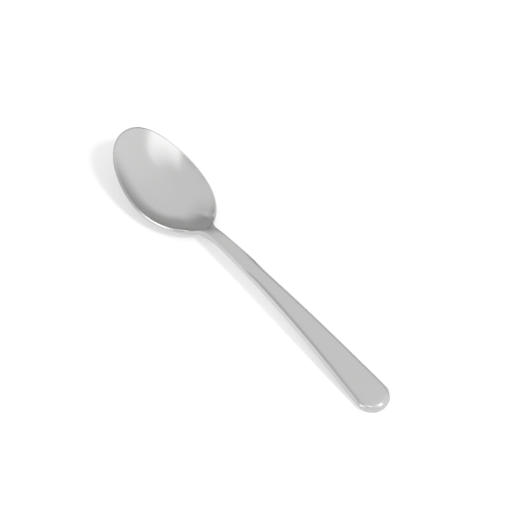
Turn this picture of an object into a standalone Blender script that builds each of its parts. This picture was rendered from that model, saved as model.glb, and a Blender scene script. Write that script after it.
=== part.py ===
"""A plain steel dinner spoon: a pressed bowl with a short neck, butt-welded to a forged handle.

Metres, +Z up. The spoon lies on its belly and its handle end at z = 0, the handle runs along +X,
and the origin is on the table under the middle of the spoon's box.
"""
import math

import bmesh
import bpy
from mathutils import Vector

# Driving dimensions
LENGTH = 0.203            # tip of the bowl to the end of the handle
BOWL_LENGTH = 0.0682
BOWL_WIDTH = 0.0412
BOWL_EGG = -0.012         # below zero the bowl is fuller towards its tip
TIP_FULLNESS = 0.04       # how much blunter than an ellipse the tip is
REAR_TAPER = 0.105        # how much the bowl's sides draw in towards the neck
BOWL_DEPTH = 0.0066       # inside, below the rim
DEPTH_POWER = 2.8         # higher is flatter at the bottom and steeper at the rim
REAR_POWER = 2.25         # the same towards the neck
REAR_POWER_FROM = 0.3     # of the half length
REAR_POWER_RUN = 0.4
RIM_HEIGHT = 0.0092       # of the rim above the table, halfway along the bowl
RIM_RISE = 0.0075         # what the tip gains on that and the neck loses
RIM_SHEER = 0.0066        # extra rise of the rim at the tip and at the neck
RIM_THICK = 0.0010
LIP_SHARE = 0.05          # share of the radius that the rim's sloping lip takes
LIP_DROP = 0.0009
LIP_TO = 0.78             # of the half length: where the lip starts to fade towards the neck
LIP_FADE = 0.16
UPRIGHT_FROM = 0.76       # of the radius: where the wall starts to turn plumb
BELLY_THICK = 0.0017
ROOT_THICK = 0.0046       # where the neck meets the bowl
ROOT_RUN = 0.014
NECK_THICK = 0.0032
HANDLE_THICK = 0.0044
HANDLE_FLARE = 1.12       # above 1 the handle's sides lean out towards its underside, below 1 in
END_FLARE = 0.85
END_FLARE_RUN = 0.025
THICKEN_FROM = 0.010      # behind the rim, where the neck starts to thicken into the handle
THICKEN_RUN = 0.050
NECK_ROOT_FROM = 0.55     # of the half length: where the bowl's wall starts to thicken into the neck
NECK_ROOT_HALF = 0.85     # of the half width: how far to each side it does
END_ARC = 0.0088          # length of the round end
CROWN = 0.0003            # how much the handle's edges lie below its middle
SHOULDER = 0.0022         # where the handle's sloping shoulder starts, inwards from its edge
SHOULDER_DROP = 0.0015
END_DROP = 0.0019         # the same slope over the round end
NECK_SHOULDER_DROP = 0.00005
SHOULDER_FROM = 0.028     # behind the rim, where the shoulder starts to grow
SHOULDER_RUN = 0.018
WELD_PLANE = 0.0095       # behind the rim, across the narrow neck
WELD_GAP = 0.0003
TIP_ROUND_OFF = 0.0001    # how far rounding draws the bowl's tip back from the cage
END_ROUND_OFF = 0.0006    # and the handle's end

# Height of the handle's top along its middle: distance behind the rim, height above the table
HANDLE_TOP = (
    (0.0, 0.0083),
    (0.0025, 0.0093),
    (0.0055, 0.0101),
    (0.0085, 0.0106),
    (0.0135, 0.0111),
    (0.022, 0.0116),
    (0.045, 0.0128),
    (0.065, 0.0123),
    (0.085, 0.0109),
    (0.105, 0.0087),
    (0.125, 0.0059),
    (0.140, 0.0030),
)

# Width of the handle's top: distance behind the rim, width
HANDLE_WIDTH = (
    (0.0, 0.0066),
    (0.003, 0.0062),
    (0.007, 0.0062),
    (0.012, 0.0063),
    (0.022, 0.0068),
    (0.045, 0.0084),
    (0.085, 0.0121),
    (0.110, 0.0149),
    (0.127, 0.0174),
)

# Finish
STEEL_COLOUR = (0.55, 0.55, 0.546, 1.0)
SATIN_ROUGHNESS = 0.34

# Mesh density and edges
BOWL_SEGMENTS = 40
BOWL_RINGS = (0.14, 0.36, 0.57, 0.75, 0.88, 1.0 - LIP_SHARE, 1.0)
NECK_EDGES = 4            # rim edges that run on into the neck
NECK_ROWS = (0.0, 0.0025, 0.0055, 0.0085, 0.0125, 0.017)
HANDLE_ROW_STEP = 0.012
SHOULDER_SHARES = (1.0, 0.0, 0.0, 0.0, 1.0)   # of the drop, at the rows across the handle
END_ROWS = ((0.5 * END_ARC, 0.0), (SHOULDER, 0.0), (0.0, 1.0))   # distance to the end, share of the drop
SMOOTH_LEVELS = 1
EDGE_ANGLE = math.radians(50.0)
RIM_CREASE = 0.45
HANDLE_CREASE = 0.7
UNDER_CREASE = 0.45
CUTTER_SPAN = 0.5

UP = Vector((0.0, 0.0, 1.0))
RIM_X = BOWL_LENGTH - LENGTH / 2 - TIP_ROUND_OFF   # the rear of the rim
BOWL_X = RIM_X - BOWL_LENGTH / 2                   # the middle of the bowl
END_X = LENGTH / 2 + END_ROUND_OFF


def clear_scene():
    for obj in list(bpy.data.objects):
        bpy.data.objects.remove(obj, do_unlink=True)


def new_collection(name):
    collection = bpy.data.collections.new(name)
    bpy.context.scene.collection.children.link(collection)
    return collection


def satin_steel():
    material = bpy.data.materials.new("satin_steel")
    material.use_nodes = True
    shader = material.node_tree.nodes["Principled BSDF"]
    shader.inputs["Base Color"].default_value = STEEL_COLOUR
    shader.inputs["Metallic"].default_value = 1.0
    shader.inputs["Roughness"].default_value = SATIN_ROUGHNESS
    return material


def smooth_step(value):
    value = min(1.0, max(0.0, value))
    return value * value * (3 - 2 * value)


def smooth_through(points, x):
    """Height at x on a smooth curve through the points, straight beyond the ends."""
    slopes = []
    for i in range(len(points)):
        before, after = points[max(i - 1, 0)], points[min(i + 1, len(points) - 1)]
        slopes.append((after[1] - before[1]) / (after[0] - before[0]))
    for i in range(len(points) - 1):
        (x0, y0), (x1, y1) = points[i], points[i + 1]
        if x <= x1:
            span = x1 - x0
            t = (x - x0) / span
            lean_out = t * (1 - t) ** 2 * span * slopes[i]
            lean_in = t * t * (t - 1) * span * slopes[i + 1]
            return y0 + (y1 - y0) * smooth_step(t) + lean_out + lean_in
    return points[-1][1] + slopes[-1] * (x - points[-1][0])


def bowl_point(p, q):
    """The bowl's upper face over the unit disc: p runs from the tip, -1, to the neck, 1."""
    radius = min(1.0, math.hypot(p, q))
    lip = 1 - smooth_step((p / radius - LIP_TO) / LIP_FADE)
    edge = 1 - LIP_SHARE * lip
    rim = RIM_HEIGHT - RIM_RISE * p + RIM_SHEER * p * p
    power = DEPTH_POWER + (REAR_POWER - DEPTH_POWER) * smooth_step((p - REAR_POWER_FROM) / REAR_POWER_RUN)
    depth = BOWL_DEPTH * (1 - min(1.0, radius / edge) ** power)
    depth += LIP_DROP * lip * max(0.0, radius - 1 + LIP_SHARE) / LIP_SHARE
    taper = max(0.001, 1 - p * p) ** (REAR_TAPER if p > 0 else -TIP_FULLNESS)
    half_width = BOWL_WIDTH / 2 * (1 + BOWL_EGG * p) * taper
    return Vector((BOWL_X + p * BOWL_LENGTH / 2, q * half_width, rim - depth))


def bowl_thickness(p, q):
    radius = min(1.0, math.hypot(p, q))
    wall = RIM_THICK + (BELLY_THICK - RIM_THICK) * (1 - radius ** 2)
    along = smooth_step((p - NECK_ROOT_FROM) / (1 - NECK_ROOT_FROM))
    aside = smooth_step(1 - abs(q) / NECK_ROOT_HALF)
    return wall + (ROOT_THICK - wall) * along * aside


def handle_half_width(behind):
    return smooth_through(HANDLE_WIDTH, behind) / 2


def rows_across(behind):
    """Places across the handle, -1 to 1: its middle, where its shoulders start, and its edges."""
    start = 1 - SHOULDER / handle_half_width(behind)
    return -1.0, -start, 0.0, start, 1.0


def shoulder_drops(behind):
    """How far the rows across the handle lie below its middle."""
    full = NECK_SHOULDER_DROP
    full += (SHOULDER_DROP - NECK_SHOULDER_DROP) * smooth_step((behind - SHOULDER_FROM) / SHOULDER_RUN)
    return [full * share for share in SHOULDER_SHARES]


def handle_row(behind):
    """A row of points straight across the handle's upper face."""
    half_width, top = handle_half_width(behind), smooth_through(HANDLE_TOP, behind)
    row = []
    for across, drop in zip(rows_across(behind), shoulder_drops(behind)):
        row.append(Vector((RIM_X + behind, across * half_width, top - CROWN * across ** 2 - drop)))
    return row


def end_row(inset, share):
    """A row over the round end, and its wall: a square grid drawn into half a disc."""
    start = END_X - END_ARC - RIM_X
    half_width = handle_half_width(start)
    along = 1 - inset / END_ARC
    points, thicknesses = [], []
    for across, side_share in zip(rows_across(start), SHOULDER_SHARES):
        behind = start + END_ARC * along * math.sqrt(1 - across ** 2 / 2)
        y = half_width * across * math.sqrt(1 - along ** 2 / 2)
        drop = max(END_DROP * share, SHOULDER_DROP * side_share)
        height = smooth_through(HANDLE_TOP, behind) - CROWN * across ** 2 - drop
        points.append(Vector((RIM_X + behind, y, height)))
        thicknesses.append(HANDLE_THICK - drop)
    return points, thicknesses


def handle_thicknesses(behind):
    """Metal below the rows across the handle."""
    middle = NECK_THICK + (HANDLE_THICK - NECK_THICK) * smooth_step((behind - THICKEN_FROM) / THICKEN_RUN)
    middle += (ROOT_THICK - NECK_THICK) * smooth_step(1 - behind / ROOT_RUN)
    return [middle - drop for drop in shoulder_drops(behind)]


def verts_and_edges(geom):
    """The new points of an extrusion, and the edges that join them."""
    verts = [g for g in geom if isinstance(g, bmesh.types.BMVert)]
    joined = set(verts)
    edges = [g for g in geom if isinstance(g, bmesh.types.BMEdge) and joined.issuperset(g.verts)]
    return verts, edges


def place(vert, walls, point, thickness, upright, crease):
    """Put a point in its place, with the wall below it: how thick, how plumb, how sharp at its edge."""
    vert.co = point
    vert[walls] = (thickness, upright, crease)


def handle_flare(behind):
    """How far the handle's sides lean: out along it, in at its end."""
    end = smooth_step(1 - (END_X - END_ARC - RIM_X - behind) / END_FLARE_RUN)
    return HANDLE_FLARE + (END_FLARE - HANDLE_FLARE) * end


def place_row(verts, walls, points, thicknesses, flare):
    """Put a row of the handle's points, sorted across it, in their places."""
    for vert, point, thickness in zip(verts, points, thicknesses):
        place(vert, walls, point, thickness, flare, HANDLE_CREASE)


def extrude_row(bm, row, walls, points, thicknesses, flare):
    """Extrude a row of the handle and put its new points in their places."""
    verts, row = verts_and_edges(bmesh.ops.extrude_edge_only(bm, edges=row)["geom"])
    verts.sort(key=lambda v: v.co.y)
    place_row(verts, walls, points, thicknesses, flare)
    return row


def extrude_across(bm, row, walls, behind):
    return extrude_row(bm, row, walls, handle_row(behind), handle_thicknesses(behind), handle_flare(behind))


def bowl_cage():
    """The bowl's upper face, ring by ring, with its rear rim drawn out into the neck."""
    bm = bmesh.new()
    walls = bm.verts.layers.float_vector.new("walls")
    bmesh.ops.create_circle(bm, cap_ends=True, segments=BOWL_SEGMENTS, radius=BOWL_RINGS[0])
    edges = list(bm.edges)
    for inner, outer in zip(BOWL_RINGS, BOWL_RINGS[1:]):
        verts, edges = verts_and_edges(bmesh.ops.extrude_edge_only(bm, edges=edges)["geom"])
        bmesh.ops.scale(bm, vec=Vector((outer / inner, outer / inner, 1.0)), verts=verts)
    reach = math.cos(2 * math.pi * (NECK_EDGES + 1) / 2 / BOWL_SEGMENTS)
    neck = [e for e in edges if all(v.co.x > reach for v in e.verts)]
    for vert in bm.verts:
        p, q = vert.co.x, vert.co.y
        upright = smooth_step((math.hypot(p, q) - UPRIGHT_FROM) / (1 - UPRIGHT_FROM))
        place(vert, walls, bowl_point(p, q), bowl_thickness(p, q), upright, RIM_CREASE)
    for behind in NECK_ROWS[1:]:
        neck = extrude_across(bm, neck, walls, behind)
    return bm


def handle_cage():
    """The handle's upper face, row by row from the neck to the round end."""
    bm = bmesh.new()
    walls = bm.verts.layers.float_vector.new("walls")
    first, last = NECK_ROWS[0], END_X - END_ARC - RIM_X
    start = [bm.verts.new(point) for point in handle_row(first)]
    row = [bm.edges.new(pair) for pair in zip(start, start[1:])]
    place_row(start, walls, handle_row(first), handle_thicknesses(first), handle_flare(first))
    count = round((last - NECK_ROWS[-1]) / HANDLE_ROW_STEP)
    step = (last - NECK_ROWS[-1]) / count
    for behind in NECK_ROWS[1:] + tuple(NECK_ROWS[-1] + step * (i + 1) for i in range(count)):
        row = extrude_across(bm, row, walls, behind)
    for inset, share in END_ROWS:
        row = extrude_row(bm, row, walls, *end_row(inset, share), handle_flare(last))
    return bm


def give_wall(bm):
    """Turn the upper face into a closed body, plumb at its rim and along the handle's sides."""
    bmesh.ops.recalc_face_normals(bm, faces=bm.faces)
    if sum(face.normal.z for face in bm.faces) < 0:
        bmesh.ops.reverse_faces(bm, faces=bm.faces)
    bm.normal_update()
    walls = bm.verts.layers.float_vector["walls"]
    drop = bm.verts.layers.float_vector.new("drop")
    for vert in bm.verts:
        thickness, upright, _ = vert[walls]
        vert[drop] = (-vert.normal).lerp(-UP, upright).normalized() * thickness
    under = bmesh.ops.extrude_face_region(bm, geom=bm.faces, use_keep_orig=True)["geom"]
    for vert in (g for g in under if isinstance(g, bmesh.types.BMVert)):
        vert.co += vert[drop]
    bmesh.ops.recalc_face_normals(bm, faces=bm.faces)
    below = set(under)
    creases = bm.edges.layers.float.new("crease_edge")
    for edge in bm.edges:
        if edge.calc_face_angle() > EDGE_ANGLE:
            edge[creases] = UNDER_CREASE if edge in below else min(vert[walls].z for vert in edge.verts)


def box_cutter(name, low, high, collection):
    bm = bmesh.new()
    bmesh.ops.create_cube(bm, size=1.0)
    low, high = Vector(low), Vector(high)
    bmesh.ops.scale(bm, vec=high - low, verts=bm.verts)
    bmesh.ops.translate(bm, vec=(high + low) / 2, verts=bm.verts)
    mesh = bpy.data.meshes.new(name)
    bm.to_mesh(mesh)
    bm.free()
    cutter = bpy.data.objects.new(name, mesh)
    cutter.hide_render = True
    cutter.display_type = "WIRE"
    collection.objects.link(cutter)
    return cutter


def add_piece(name, bm, material, cutters, collection):
    give_wall(bm)
    mesh = bpy.data.meshes.new(name)
    bm.to_mesh(mesh)
    bm.free()
    mesh.shade_smooth()
    mesh.materials.append(material)
    piece = bpy.data.objects.new(name, mesh)
    collection.objects.link(piece)
    rounding = piece.modifiers.new("rounding", "SUBSURF")
    rounding.levels = SMOOTH_LEVELS
    rounding.render_levels = SMOOTH_LEVELS
    for cutter in cutters:
        cut = piece.modifiers.new(cutter.name, "BOOLEAN")
        cut.operation = "DIFFERENCE"
        cut.solver = "EXACT"
        cut.object = cutter
    return piece


def build():
    clear_scene()
    parts = new_collection("dinner_spoon")
    cutters = new_collection("cutters")
    span = CUTTER_SPAN / 2
    weld = RIM_X + WELD_PLANE
    # The belly and the handle's end reach just under the table's plane, and are cut flat there
    table = box_cutter("table", (-span, -span, -span), (span, span, 0.0), cutters)
    behind_weld = box_cutter("behind_weld", (weld - WELD_GAP / 2, -span, -span), (span, span, span), cutters)
    before_weld = box_cutter("before_weld", (-span, -span, -span), (weld + WELD_GAP / 2, span, span), cutters)
    satin = satin_steel()
    add_piece("bowl", bowl_cage(), satin, (table, behind_weld), parts)
    add_piece("handle", handle_cage(), satin, (table, before_weld), parts)


build()
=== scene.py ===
"""A satin steel dinner spoon lying on a white table, seen from above its handle end."""
import math

import bmesh
import bpy
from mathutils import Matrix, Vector


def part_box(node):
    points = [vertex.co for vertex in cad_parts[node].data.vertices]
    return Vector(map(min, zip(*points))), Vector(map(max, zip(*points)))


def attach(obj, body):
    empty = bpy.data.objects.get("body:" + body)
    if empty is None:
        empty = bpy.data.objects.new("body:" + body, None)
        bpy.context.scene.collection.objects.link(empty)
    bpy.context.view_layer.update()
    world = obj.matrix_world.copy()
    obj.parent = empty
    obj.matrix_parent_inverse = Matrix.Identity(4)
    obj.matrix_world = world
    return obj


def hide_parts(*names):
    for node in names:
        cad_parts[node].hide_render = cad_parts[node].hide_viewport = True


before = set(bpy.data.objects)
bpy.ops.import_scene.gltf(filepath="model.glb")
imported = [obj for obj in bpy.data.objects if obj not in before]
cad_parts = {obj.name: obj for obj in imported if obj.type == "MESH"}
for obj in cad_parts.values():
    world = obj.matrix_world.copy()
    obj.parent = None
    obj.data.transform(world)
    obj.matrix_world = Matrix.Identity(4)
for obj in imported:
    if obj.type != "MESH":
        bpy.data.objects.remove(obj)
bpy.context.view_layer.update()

# Where the frame puts the two pieces
BOWL_LOW, BOWL_HIGH = (Vector(corner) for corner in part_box("bowl"))
HANDLE_LOW, HANDLE_HIGH = (Vector(corner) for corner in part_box("handle"))
WELD_X = (BOWL_HIGH.x + HANDLE_LOW.x) / 2
TABLE_Z = 0.0

# The bowl, in metres
BOWL_LENGTH = 0.0682
BOWL_WIDTH = 0.0412
BOWL_EGG = -0.012          # below 0 it is wider towards the tip
TIP_FULLNESS = 0.04        # blunter there than an ellipse
REAR_TAPER = 0.105         # and drawn in towards the neck
TAPER_FLOOR = 0.001        # keeps both finite at the very ends
BOWL_DEPTH = 0.0066
DEPTH_POWER = 2.65         # flat at the bottom, steep at the rim
REAR_POWER = 2.25          # gentler towards the neck
REAR_POWER_FROM = 0.3
REAR_POWER_RUN = 0.4
RIM_HEIGHT = 0.0092
RIM_RISE = 0.0075          # up towards the tip
RIM_SHEER = 0.0066         # up towards both ends
RIM_THICK = 0.0007
BELLY_THICK = 0.0017
LIP_SHARE = 0.035          # share of the radius that the sloping lip takes
LIP_DROP = 0.0009
LIP_TO = 0.84              # where the lip starts to fade towards the neck
LIP_FADE = 0.11
UPRIGHT_FROM = 0.76        # share of the radius from where the wall turns plumb
TIP_ROUND_OFF = 0.0002     # what the rounding takes off the tip
BOWL_SEGMENTS = 88
BOWL_RINGS = (0.14, 0.36, 0.57, 0.75, 0.88, 1.0 - LIP_SHARE, 1.0)

# The neck and the handle, measured from the rear of the bowl's rim
NECK_EDGES = 8
NECK_ROWS = (0.0, 0.0025, 0.0055, 0.0085, 0.0125, 0.017)
NECK_THICK = 0.0032
ROOT_THICK = 0.0046        # where the neck meets the bowl
ROOT_RUN = 0.014
NECK_ROOT_FROM = 0.55      # where the bowl's wall starts to thicken into the neck
NECK_ROOT_HALF = 0.85
HANDLE_THICK = 0.0044
THICKEN_FROM = 0.010
THICKEN_RUN = 0.050
HANDLE_FLARE = 1.12        # above 1 the sides lean out towards the underside, below 1 in
END_FLARE = 0.76
END_FLARE_RUN = 0.012
HANDLE_ROW_STEP = 0.012
END_ARC = 0.0088
END_ROUND_OFF = 0.0002
CROWN = 0.0003
HANDLE_TOP = (
    (0.0, 0.0083),
    (0.0025, 0.0093),
    (0.0055, 0.0101),
    (0.0085, 0.0106),
    (0.0135, 0.0111),
    (0.022, 0.0114),
    (0.045, 0.0128),
    (0.065, 0.0123),
    (0.085, 0.0109),
    (0.105, 0.0087),
    (0.125, 0.0059),
    (0.140, 0.0030),
)
HANDLE_WIDTH = (
    (0.0, 0.0061),
    (0.003, 0.0059),
    (0.007, 0.0061),
    (0.012, 0.0063),
    (0.022, 0.0068),
    (0.045, 0.0085),
    (0.085, 0.0123),
    (0.110, 0.0151),
    (0.127, 0.0175),
)

# The sloping shoulders along the handle and round its end. A row is its inset and its share of the drop
SHOULDER_DROP = 0.0018
NECK_SHOULDER_DROP = 0.00005
END_DROP = 0.0019
SHOULDER_FROM = 0.028
SHOULDER_RUN = 0.018
SHOULDER_REACH = 0.75      # most of the half width that a shoulder takes
SHOULDER_ROWS = ((0.0035, 0.0), (0.0024, 0.06), (0.0014, 0.29), (0.0, 1.0))
SHOULDER_SHARES = [share for _, share in SHOULDER_ROWS]
SHARES_ACROSS = SHOULDER_SHARES[::-1] + [0.0] + SHOULDER_SHARES
END_ROWS = ((0.65 * END_ARC, 0.0), (0.0034, 0.0), (0.0021, 0.15), (0.0006, 0.70), (0.0, 1.0))

# Places along the spoon
RIM_X = BOWL_LOW.x - TIP_ROUND_OFF + BOWL_LENGTH
BOWL_X = RIM_X - BOWL_LENGTH / 2
END_X = HANDLE_HIGH.x + END_ROUND_OFF
END_START = END_X - END_ARC - RIM_X

# Rounding, and how sharp the edges stay
SMOOTH_LEVELS = 3
EDGE_ANGLE = math.radians(50.0)
RIM_CREASE = 0.88
HANDLE_CREASE = 0.7
NECK_CREASE = 0.97
UNDER_CREASE = 0.45
SHARP_ANGLE = math.radians(35.0)

# The steel: fine lines brushed along the spoon, and a slow drift over them
STEEL_COLOUR = (0.50, 0.50, 0.497)
LINE_SCALE = (60.0, 2600.0, 2600.0)
LINE_DETAIL = 3.0
LINE_DEPTH = 0.00002
LINE_STRENGTH = 0.12
DRIFT_SCALE = 90.0
DRIFT_DETAIL = 2.0
SHADE, SHADE_LINES, SHADE_DRIFT = 0.985, 0.02, 0.02
ROUGH, ROUGH_LINES, ROUGH_DRIFT = 0.15, 0.07, 0.04

# The camera. The spoon is turned to the picture, and bearings are degrees clockwise from straight away
SPOON_TURN = math.radians(51.6)
RIGHT = Vector((math.cos(SPOON_TURN), math.sin(SPOON_TURN), 0.0))
AWAY = Vector((-math.sin(SPOON_TURN), math.cos(SPOON_TURN), 0.0))
UP = Vector((0.0, 0.0, 1.0))
ALONG = Vector((1.0, 0.0, 0.0))
IMAGE_SIZE = 515
CAMERA_BEARING = 180.0
CAMERA_ELEVATION = 50.0
CAMERA_DISTANCE = 1.0
PIXELS_PER_METRE = 2043.8
AIM_HEIGHT = 0.00804
AIM_RIGHT_PIXELS = 8.4
AIM_UP_PIXELS = 11.0
SENSOR_WIDTH = 36.0

# The table. The lift whitens it for the eye and for mirrors, and lights nothing
FLOOR_SIZE = 6.0
FLOOR_COLOUR = (0.35, 0.35, 0.35, 1.0)
FLOOR_LIFT = 0.49
FLOOR_MIRRORED = 0.08      # what mirrors see on top of that

# The lamps. The first two face the table and the handle's end, the third the handle's shadow
KEY_LIGHT = {
    "bearing": 126.0,
    "elevation": 54.0,
    "distance": 1.0,
    "size": (0.16, 0.16),
    "power": 7.0,
    "mirrored": False,
}
END_GLINT = {
    "bearing": 116.0,
    "elevation": 36.0,
    "distance": 0.4,
    "size": (0.05, 0.075),
    "power": 0.027,
    "mirrored": True,
}
SHADOW_FILL = {
    "bearing": 231.6,
    "elevation": 89.0,
    "distance": 0.02,
    "size": (0.079, 0.004),
    "power": 0.0068,
    "mirrored": False,
}
HANDLE_SHADOW = Vector((0.022, -0.026, TABLE_Z))

# The room as the steel sees it. A pair is a soft edge: nothing at its first number, everything at its second
FAR_WALL = ((0.0, 0.36), (0.07, 0.43), (0.14, 0.50), (0.26, 0.59), (0.37, 0.71), (0.56, 1.05), (1.0, 1.08))
FAR_LEAN = 0.42            # how much paler the far wall gets from left to right
FAR_LEAN_HEIGHT = (0.75, 0.2)
NEAR_WALL = 1.06           # the walls beside and behind the camera
NEAR_WALL_AHEAD = (0.62, 0.05)
NEAR_WALL_CORNER = (1.65, 1.15)
NEAR_WALL_ASIDE = (-0.05, -0.2)
RIGHT_WALL = 0.17          # how much paler the right wall is
RIGHT_WALL_ASIDE = (0.0, 1.0)
DARK_SCREEN = 0.32         # a dark screen on the left, darker lower down
DARK_SCREEN_CORNER = (0.2, -0.1)
DARK_SCREEN_ASIDE = (-0.2, -0.4)
DARK_SCREEN_HEIGHT = (0.69, 0.40)
NEAR_SCREEN = 0.16         # a smaller one beside the camera
NEAR_SCREEN_CORNER = (-0.25, -0.6)
NEAR_SCREEN_ASIDE = (-0.4, -0.55)
NEAR_SCREEN_TOP = (0.80, 0.66)
NEAR_SCREEN_FOOT = (0.5, 0.6)
CORNER_SHADE = 0.06        # between the far wall and the left one
CORNER_SHADE_CORNER = (0.6, 1.0)
CORNER_SHADE_ASIDE = (-0.1, -0.3)
CORNER_SHADE_HEIGHT = (0.85, 0.65)

# The soft panel above the camera, and a strip low on its left. Their breadth is aside over nearness
PANEL_GLOW = 1.07
PANEL_AHEAD = (0.0, -0.1)
PANEL_FOOT = (0.52, 0.60)
PANEL_HEIGHT = (0.95, 0.60)
PANEL_FADE = 0.6           # how it fades upwards
PANEL_LEFT = (-0.79, -0.69)
PANEL_RIGHT = (0.59, 0.32)
PANEL_SLANT = 1.6          # how far its right edge leans out with height
PANEL_SLANT_HEIGHT = (0.67, 0.95)
STRIP_GLOW = 2.9
STRIP_FOOT = (0.07, 0.12)
STRIP_TOP = (0.48, 0.36)
STRIP_LEFT = (-2.2, -1.8)
STRIP_RIGHT = (-0.55, -1.15)
ROOM_BRIGHTEST = 2.7


def smooth_step(value):
    value = min(1.0, max(0.0, value))
    return value * value * (3 - 2 * value)


def smooth_through(points, x):
    """Height at x on a smooth curve through the points, straight beyond the ends."""
    slopes = []
    for i in range(len(points)):
        before, after = points[max(i - 1, 0)], points[min(i + 1, len(points) - 1)]
        slopes.append((after[1] - before[1]) / (after[0] - before[0]))
    for i in range(len(points) - 1):
        (x0, y0), (x1, y1) = points[i], points[i + 1]
        if x <= x1:
            span = x1 - x0
            t = (x - x0) / span
            lean_out = t * (1 - t) ** 2 * span * slopes[i]
            lean_in = t * t * (t - 1) * span * slopes[i + 1]
            return y0 + (y1 - y0) * smooth_step(t) + lean_out + lean_in
    return points[-1][1] + slopes[-1] * (x - points[-1][0])


def bowl_point(p, q):
    """The bowl's upper face over the unit disc: p runs from the tip, -1, to the neck, 1."""
    radius = min(1.0, math.hypot(p, q))
    lip = 1 - smooth_step((p / radius - LIP_TO) / LIP_FADE)
    edge = 1 - LIP_SHARE * lip
    rim = RIM_HEIGHT - RIM_RISE * p + RIM_SHEER * p * p
    rear = smooth_step((p - REAR_POWER_FROM) / REAR_POWER_RUN)
    power = DEPTH_POWER + (REAR_POWER - DEPTH_POWER) * rear
    depth = BOWL_DEPTH * (1 - min(1.0, radius / edge) ** power)
    depth += LIP_DROP * lip * max(0.0, radius - 1 + LIP_SHARE) / LIP_SHARE
    taper = max(TAPER_FLOOR, 1 - p * p) ** (REAR_TAPER if p > 0 else -TIP_FULLNESS)
    half_width = BOWL_WIDTH / 2 * (1 + BOWL_EGG * p) * taper
    return Vector((BOWL_X + p * BOWL_LENGTH / 2, q * half_width, rim - depth))


def bowl_thickness(p, q):
    """Metal below a point of the bowl, thicker where the neck grows out of it."""
    radius = min(1.0, math.hypot(p, q))
    wall = RIM_THICK + (BELLY_THICK - RIM_THICK) * (1 - radius ** 2)
    along = smooth_step((p - NECK_ROOT_FROM) / (1 - NECK_ROOT_FROM))
    aside = smooth_step(1 - abs(q) / NECK_ROOT_HALF)
    return wall + (ROOT_THICK - wall) * along * aside


def handle_half_width(behind):
    return smooth_through(HANDLE_WIDTH, behind) / 2


def rows_across(behind):
    """Places across the handle, -1 to 1: its middle, its shoulders' rows and its edges."""
    half_width = handle_half_width(behind)
    scale = min(1.0, SHOULDER_REACH * half_width / SHOULDER_ROWS[0][0]) / half_width
    right = [1 - inset * scale for inset, _ in SHOULDER_ROWS]
    return [-across for across in reversed(right)] + [0.0] + right


def past_neck(behind):
    """0 along the neck, 1 where the shoulders have their full drop."""
    return smooth_step((behind - SHOULDER_FROM) / SHOULDER_RUN)


def shoulder_drops(behind):
    """How far the rows across the handle lie below its middle."""
    full = NECK_SHOULDER_DROP + (SHOULDER_DROP - NECK_SHOULDER_DROP) * past_neck(behind)
    return [full * share for share in SHARES_ACROSS]


def handle_row(behind):
    """A row of points straight across the handle's upper face."""
    half_width, top = handle_half_width(behind), smooth_through(HANDLE_TOP, behind)
    row = []
    for across, drop in zip(rows_across(behind), shoulder_drops(behind)):
        row.append(Vector((RIM_X + behind, across * half_width, top - CROWN * across ** 2 - drop)))
    return row


def end_row(inset, share):
    """A row over the round end, and its wall: a square grid drawn into half a disc."""
    half_width = handle_half_width(END_START)
    along = 1 - inset / END_ARC
    points, thicknesses = [], []
    for across, side_share in zip(rows_across(END_START), SHARES_ACROSS):
        behind = END_START + END_ARC * along * math.sqrt(1 - across ** 2 / 2)
        y = half_width * across * math.sqrt(1 - along ** 2 / 2)
        drop = max(END_DROP * share, SHOULDER_DROP * side_share)
        height = smooth_through(HANDLE_TOP, behind) - CROWN * across ** 2 - drop
        points.append(Vector((RIM_X + behind, y, height)))
        thicknesses.append(HANDLE_THICK - drop)
    return points, thicknesses


def handle_thicknesses(behind):
    """Metal below the rows across the handle."""
    thicker = smooth_step((behind - THICKEN_FROM) / THICKEN_RUN)
    middle = NECK_THICK + (HANDLE_THICK - NECK_THICK) * thicker
    middle += (ROOT_THICK - NECK_THICK) * smooth_step(1 - behind / ROOT_RUN)
    return [middle - drop for drop in shoulder_drops(behind)]


def handle_edges(behind):
    """How far the handle's sides lean, and how sharp its edges are: crisper at the neck."""
    end = smooth_step(1 - (END_START - behind) / END_FLARE_RUN)
    flare = HANDLE_FLARE + (END_FLARE - HANDLE_FLARE) * end
    return flare, HANDLE_CREASE + (NECK_CREASE - HANDLE_CREASE) * (1 - past_neck(behind))


def verts_and_edges(geom):
    """The new points of an extrusion, and the edges that join them."""
    verts = [g for g in geom if isinstance(g, bmesh.types.BMVert)]
    joined = set(verts)
    edges = [g for g in geom if isinstance(g, bmesh.types.BMEdge) and joined.issuperset(g.verts)]
    return verts, edges


def place(vert, walls, point, thickness, upright, crease):
    """Put a point in its place, with the wall below it: how thick, how plumb, how sharp at its edge."""
    vert.co = point
    vert[walls] = (thickness, upright, crease)


def place_row(verts, walls, points, thicknesses, edges):
    """Put a row of the handle's points, sorted across it, in their places."""
    for vert, point, thickness in zip(verts, points, thicknesses):
        place(vert, walls, point, thickness, *edges)


def extrude_row(bm, row, walls, points, thicknesses, edges):
    """Extrude a row of the handle and put its new points in their places."""
    verts, row = verts_and_edges(bmesh.ops.extrude_edge_only(bm, edges=row)["geom"])
    verts.sort(key=lambda v: v.co.y)
    place_row(verts, walls, points, thicknesses, edges)
    return row


def extrude_across(bm, row, walls, behind):
    return extrude_row(bm, row, walls, handle_row(behind), handle_thicknesses(behind), handle_edges(behind))


def new_cage():
    """An empty mesh whose points can hold the wall below them."""
    bm = bmesh.new()
    return bm, bm.verts.layers.float_vector.new("walls")


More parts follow.
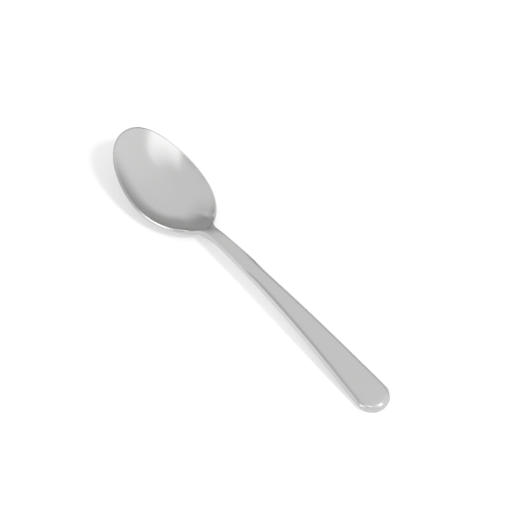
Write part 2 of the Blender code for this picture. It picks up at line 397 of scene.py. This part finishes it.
def bowl_cage():
    """The bowl's upper face, ring by ring, with its rear rim drawn out into the neck."""
    bm, walls = new_cage()
    bmesh.ops.create_circle(bm, cap_ends=True, segments=BOWL_SEGMENTS, radius=BOWL_RINGS[0])
    edges = list(bm.edges)
    for inner, outer in zip(BOWL_RINGS, BOWL_RINGS[1:]):
        verts, edges = verts_and_edges(bmesh.ops.extrude_edge_only(bm, edges=edges)["geom"])
        bmesh.ops.scale(bm, vec=Vector((outer / inner, outer / inner, 1.0)), verts=verts)
    reach = math.cos(2 * math.pi * (NECK_EDGES + 1) / 2 / BOWL_SEGMENTS)
    neck = [e for e in edges if all(v.co.x > reach for v in e.verts)]
    for vert in bm.verts:
        p, q = vert.co.x, vert.co.y
        upright = smooth_step((math.hypot(p, q) - UPRIGHT_FROM) / (1 - UPRIGHT_FROM))
        place(vert, walls, bowl_point(p, q), bowl_thickness(p, q), upright, RIM_CREASE)
    for behind in NECK_ROWS[1:]:
        neck = extrude_across(bm, neck, walls, behind)
    return bm


def handle_cage():
    """The handle's upper face, row by row from the neck to the round end."""
    bm, walls = new_cage()
    first, straight = NECK_ROWS[0], NECK_ROWS[-1]
    start = [bm.verts.new(point) for point in handle_row(first)]
    row = [bm.edges.new(pair) for pair in zip(start, start[1:])]
    place_row(start, walls, handle_row(first), handle_thicknesses(first), handle_edges(first))
    count = round((END_START - straight) / HANDLE_ROW_STEP)
    step = (END_START - straight) / count
    for behind in NECK_ROWS[1:] + tuple(straight + step * (i + 1) for i in range(count)):
        row = extrude_across(bm, row, walls, behind)
    for inset, share in END_ROWS:
        row = extrude_row(bm, row, walls, *end_row(inset, share), handle_edges(END_START))
    return bm


def give_wall(bm):
    """Turn the upper face into a closed body, plumb at its rim and along the handle's sides."""
    bmesh.ops.recalc_face_normals(bm, faces=bm.faces)
    if sum(face.normal.z for face in bm.faces) < 0:
        bmesh.ops.reverse_faces(bm, faces=bm.faces)
    bm.normal_update()
    walls = bm.verts.layers.float_vector["walls"]
    drop = bm.verts.layers.float_vector.new("drop")
    for vert in bm.verts:
        thickness, upright, _ = vert[walls]
        vert[drop] = (-vert.normal).lerp(-UP, upright).normalized() * thickness
    under = bmesh.ops.extrude_face_region(bm, geom=bm.faces, use_keep_orig=True)["geom"]
    for vert in (g for g in under if isinstance(g, bmesh.types.BMVert)):
        vert.co += vert[drop]
    bmesh.ops.recalc_face_normals(bm, faces=bm.faces)
    below = set(under)
    creases = bm.edges.layers.float.new("crease_edge")
    for edge in bm.edges:
        if edge.calc_face_angle() > EDGE_ANGLE:
            edge[creases] = UNDER_CREASE if edge in below else min(vert[walls].z for vert in edge.verts)


def cut_flat(bm, point, away):
    """Cut the mesh square at a plane, drop what lies beyond it and close the cut."""
    geom = list(bm.verts) + list(bm.edges) + list(bm.faces)
    cut = bmesh.ops.bisect_plane(bm, geom=geom, plane_co=point, plane_no=away, clear_outer=True)
    edges = [g for g in cut["geom_cut"] if isinstance(g, bmesh.types.BMEdge)]
    if edges:
        bmesh.ops.holes_fill(bm, edges=edges)


def add_object(name, data):
    obj = bpy.data.objects.new(name, data)
    bpy.context.scene.collection.objects.link(obj)
    return obj


def finished_mesh(name, cage, cuts):
    """The cage given its wall, rounded, and cut flat where it is welded and where it rests."""
    give_wall(cage)
    mesh = bpy.data.meshes.new(name)
    cage.to_mesh(mesh)
    cage.free()
    rough = add_object(name + "_cage", mesh)
    rounding = rough.modifiers.new("rounding", "SUBSURF")
    rounding.levels = SMOOTH_LEVELS
    rounding.render_levels = SMOOTH_LEVELS
    evaluated = rough.evaluated_get(bpy.context.evaluated_depsgraph_get())
    finished = bpy.data.meshes.new_from_object(evaluated)
    bpy.data.objects.remove(rough, do_unlink=True)
    bm = bmesh.new()
    bm.from_mesh(finished)
    for point, away in cuts:
        cut_flat(bm, point, away)
    bm.to_mesh(finished)
    bm.free()
    finished.shade_smooth()
    finished.set_sharp_from_angle(angle=SHARP_ANGLE)
    return finished


def add_piece(name, node, cage, weld_side, material):
    """A finished piece of the spoon, flat where it rests and where it is welded to the other."""
    rest = (Vector((0.0, 0.0, TABLE_Z)), -UP)
    weld = (Vector((WELD_X, 0.0, 0.0)), weld_side)
    piece = add_object(name, finished_mesh(name, cage, [rest, weld]))
    piece.data.materials.clear()
    piece.data.materials.append(material)
    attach(piece, "root")
    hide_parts(node)


def set_stops(ramp, stops):
    """Give a colour ramp its grey stops: position and brightness."""
    while len(ramp.elements) < len(stops):
        ramp.elements.new(1.0)
    for element, (position, grey) in zip(ramp.elements, stops):
        element.position = position
        element.color = (grey, grey, grey, 1.0)


class Wire:
    """A socket of a node tree. Arithmetic on it adds Math nodes, and add() adds any other node."""

    def __init__(self, tree, socket=None):
        self.tree = tree
        self.socket = socket

    def add(self, kind, settings=None, inputs=None, output=0):
        node = self.tree.nodes.new(kind)
        for key, value in (settings or {}).items():
            if key == "stops":
                set_stops(node.color_ramp, value)
            else:
                setattr(node, key, value)
        for key, value in (inputs or {}).items():
            if isinstance(value, Wire):
                self.tree.links.new(value.socket, node.inputs[key])
            else:
                node.inputs[key].default_value = value
        return Wire(self.tree, node.outputs[output])

    def math(self, operation, first, second):
        return self.add("ShaderNodeMath", {"operation": operation}, {0: first, 1: second})

    def dot(self, first, second):
        return self.add("ShaderNodeVectorMath", {"operation": "DOT_PRODUCT"}, {0: first, 1: second}, "Value")

    def slide(self, value, start, end, kind="LINEAR"):
        """0 at start and before it, 1 at end and beyond it."""
        settings = {"interpolation_type": kind}
        return self.add("ShaderNodeMapRange", settings, {"Value": value, "From Min": start, "From Max": end})

    def ease(self, value, start, end):
        return self.slide(value, start, end, "SMOOTHSTEP")

    def __add__(self, other):
        return self.math("ADD", self, other)

    def __radd__(self, other):
        return self.math("ADD", other, self)

    def __sub__(self, other):
        return self.math("SUBTRACT", self, other)

    def __rsub__(self, other):
        return self.math("SUBTRACT", other, self)

    def __mul__(self, other):
        return self.math("MULTIPLY", self, other)

    def __rmul__(self, other):
        return self.math("MULTIPLY", other, self)


def new_material(name):
    material = bpy.data.materials.new(name)
    material.use_nodes = True
    return material, material.node_tree


def satin_steel():
    """Steel brushed along the spoon: fine lines in the gloss, and a faint grey drift over them."""
    material, tree = new_material("satin_steel")
    shader = tree.nodes["Principled BSDF"]
    sheet = Wire(tree)
    on_piece = sheet.add("ShaderNodeTexCoord", output="Object")
    brushed = sheet.add("ShaderNodeMapping", inputs={"Vector": on_piece, "Scale": LINE_SCALE})
    lines = sheet.add("ShaderNodeTexNoise", inputs={"Vector": brushed, "Scale": 1.0, "Detail": LINE_DETAIL})
    slow = {"Vector": on_piece, "Scale": DRIFT_SCALE, "Detail": DRIFT_DETAIL}
    drift = sheet.add("ShaderNodeTexNoise", inputs=slow)
    shade = SHADE + lines * SHADE_LINES + drift * SHADE_DRIFT
    tinting = {"data_type": "RGBA", "blend_type": "MULTIPLY"}
    tinted = {"Factor": 1.0, 6: STEEL_COLOUR + (1.0,), 7: shade}
    colour = sheet.add("ShaderNodeMix", tinting, tinted, output=2)
    roughness = ROUGH + lines * ROUGH_LINES + drift * ROUGH_DRIFT
    grooves = {"Height": lines, "Strength": LINE_STRENGTH, "Distance": LINE_DEPTH}
    bump = sheet.add("ShaderNodeBump", inputs=grooves)
    tree.links.new(colour.socket, shader.inputs["Base Color"])
    tree.links.new(roughness.socket, shader.inputs["Roughness"])
    tree.links.new(bump.socket, shader.inputs["Normal"])
    shader.inputs["Metallic"].default_value = 1.0
    return material


def towards(bearing, elevation):
    """A direction by its bearing, in degrees clockwise from straight away, and its height."""
    bearing, elevation = math.radians(bearing), math.radians(elevation)
    level = AWAY * math.cos(bearing) + RIGHT * math.sin(bearing)
    return level * math.cos(elevation) + UP * math.sin(elevation)


def aim(obj, target):
    obj.rotation_euler = (target - obj.location).to_track_quat("-Z", "Y").to_euler()


def soft_box(name, target, bearing, elevation, distance, size, power, mirrored):
    """A rectangular lamp that faces its target. The steel shows it only where it is mirrored."""
    lamp = bpy.data.lights.new(name, "AREA")
    lamp.shape = "RECTANGLE"
    lamp.size, lamp.size_y = size
    lamp.energy = power
    obj = add_object(name, lamp)
    obj.location = target + towards(bearing, elevation) * distance
    obj.visible_camera = False
    obj.visible_glossy = mirrored
    aim(obj, target)


def shown_rays(sheet):
    """1 for rays that show a thing to the eye, straight, mirrored or through glass; and the mirrored ones."""
    rays = sheet.add("ShaderNodeLightPath").socket.node.outputs
    straight, mirrored, through = (
        Wire(sheet.tree, rays[name]) for name in ("Is Camera Ray", "Is Glossy Ray", "Is Transmission Ray")
    )
    shown = sheet.math("MAXIMUM", sheet.math("MAXIMUM", straight, mirrored), through)
    return shown, mirrored


def white_table():
    """A pale matt floor that keeps the spoon's shadow, lifted to white for the eye."""
    bm = bmesh.new()
    bmesh.ops.create_grid(bm, x_segments=2, y_segments=2, size=FLOOR_SIZE / 2)
    mesh = bpy.data.meshes.new("table_top")
    bm.to_mesh(mesh)
    bm.free()
    table = add_object("table_top", mesh)
    material, tree = new_material("white_table")
    tree.nodes.remove(tree.nodes["Principled BSDF"])
    sheet = Wire(tree)
    paint = sheet.add("ShaderNodeBsdfDiffuse", inputs={"Color": FLOOR_COLOUR})
    shown, mirrored = shown_rays(sheet)
    strength = shown * FLOOR_LIFT + mirrored * FLOOR_MIRRORED
    lift = sheet.add("ShaderNodeEmission", inputs={"Strength": strength})
    both = sheet.add("ShaderNodeAddShader", inputs={0: paint, 1: lift})
    tree.links.new(both.socket, tree.nodes["Material Output"].inputs["Surface"])
    mesh.materials.append(material)


def studio_walls(sheet, height, aside, ahead):
    """The far wall, the paler walls beside and behind the camera, and two dark screens on the left."""
    ramp = sheet.add("ShaderNodeValToRGB", {"stops": FAR_WALL}, {0: height})
    far = ramp * (1 + sheet.ease(height, *FAR_LEAN_HEIGHT) * aside * FAR_LEAN)
    corner = sheet.math("DIVIDE", ahead, -1 * aside)
    near = NEAR_WALL + sheet.slide(aside, *RIGHT_WALL_ASIDE) * RIGHT_WALL
    screen = sheet.ease(corner, *DARK_SCREEN_CORNER) * sheet.ease(aside, *DARK_SCREEN_ASIDE)
    near = near - screen * sheet.ease(height, *DARK_SCREEN_HEIGHT) * DARK_SCREEN
    screen = sheet.ease(corner, *NEAR_SCREEN_CORNER) * sheet.ease(aside, *NEAR_SCREEN_ASIDE)
    screen = screen * sheet.ease(height, *NEAR_SCREEN_TOP) * sheet.ease(height, *NEAR_SCREEN_FOOT)
    near = near - screen * NEAR_SCREEN
    turn = sheet.ease(corner, *NEAR_WALL_CORNER) * sheet.ease(aside, *NEAR_WALL_ASIDE)
    turn = sheet.math("MAXIMUM", sheet.ease(ahead, *NEAR_WALL_AHEAD), turn)
    shade = sheet.ease(corner, *CORNER_SHADE_CORNER) * sheet.ease(aside, *CORNER_SHADE_ASIDE)
    shade = shade * sheet.ease(height, *CORNER_SHADE_HEIGHT)
    return far + (near - far) * turn - shade * CORNER_SHADE


def soft_panel(sheet, height, aside, ahead):
    """The panel above the camera, its right edge slanting out, and the bright strip low on its left."""
    breadth = sheet.math("DIVIDE", aside, -1 * ahead)
    slanted = breadth - sheet.slide(height, *PANEL_SLANT_HEIGHT) * PANEL_SLANT
    fade = sheet.math("POWER", sheet.slide(height, *PANEL_HEIGHT), PANEL_FADE)
    panel = fade * sheet.ease(height, *PANEL_FOOT) * PANEL_GLOW
    panel = panel * sheet.ease(breadth, *PANEL_LEFT) * sheet.ease(slanted, *PANEL_RIGHT)
    strip = sheet.ease(height, *STRIP_FOOT) * sheet.ease(height, *STRIP_TOP) * STRIP_GLOW
    strip = strip * sheet.ease(breadth, *STRIP_LEFT) * sheet.ease(breadth, *STRIP_RIGHT)
    return sheet.ease(ahead, *PANEL_AHEAD) * (panel + strip)


def studio_room():
    """Studio walls as the steel sees them, with a soft panel above the camera; white to the eye."""
    world = bpy.data.worlds.new("studio")
    bpy.context.scene.world = world
    world.use_nodes = True
    tree = world.node_tree
    sheet = Wire(tree)
    # A direction has a height, lies aside, above 0 to the right, and ahead, above 0 away from the camera
    direction = sheet.add("ShaderNodeTexCoord", output="Generated")
    height = sheet.add("ShaderNodeSeparateXYZ", inputs={0: direction}, output="Z")
    aside = sheet.dot(direction, RIGHT)
    ahead = sheet.dot(direction, AWAY)
    glow = studio_walls(sheet, height, aside, ahead) + soft_panel(sheet, height, aside, ahead)
    seen = sheet.add("ShaderNodeLightPath", output="Is Camera Ray")
    limit = ROOM_BRIGHTEST - seen * (ROOM_BRIGHTEST - 1)
    shown = sheet.math("MINIMUM", sheet.math("MAXIMUM", glow, seen), limit)
    tree.links.new(shown.socket, tree.nodes["Background"].inputs["Color"])


def add_camera():
    data = bpy.data.cameras.new("camera")
    data.sensor_width = SENSOR_WIDTH
    data.lens = SENSOR_WIDTH * CAMERA_DISTANCE * PIXELS_PER_METRE / IMAGE_SIZE
    obj = add_object("camera", data)
    back = towards(CAMERA_BEARING, CAMERA_ELEVATION)
    image_up = back.cross(RIGHT)
    shift = (RIGHT * AIM_RIGHT_PIXELS + image_up * AIM_UP_PIXELS) / PIXELS_PER_METRE
    target = UP * AIM_HEIGHT + shift
    obj.location = target + back * CAMERA_DISTANCE
    aim(obj, target)
    bpy.context.scene.camera = obj


steel = satin_steel()
add_piece("spoon_bowl", "bowl", bowl_cage(), ALONG, steel)
add_piece("spoon_handle", "handle", handle_cage(), -ALONG, steel)
white_table()
studio_room()
soft_box("key_light", Vector((0.0, 0.0, TABLE_Z)), **KEY_LIGHT)
soft_box("end_glint", Vector((END_X, 0.0, TABLE_Z)), **END_GLINT)
soft_box("shadow_fill", HANDLE_SHADOW, **SHADOW_FILL)
add_camera()
bpy.context.scene.view_settings.view_transform = "Standard"
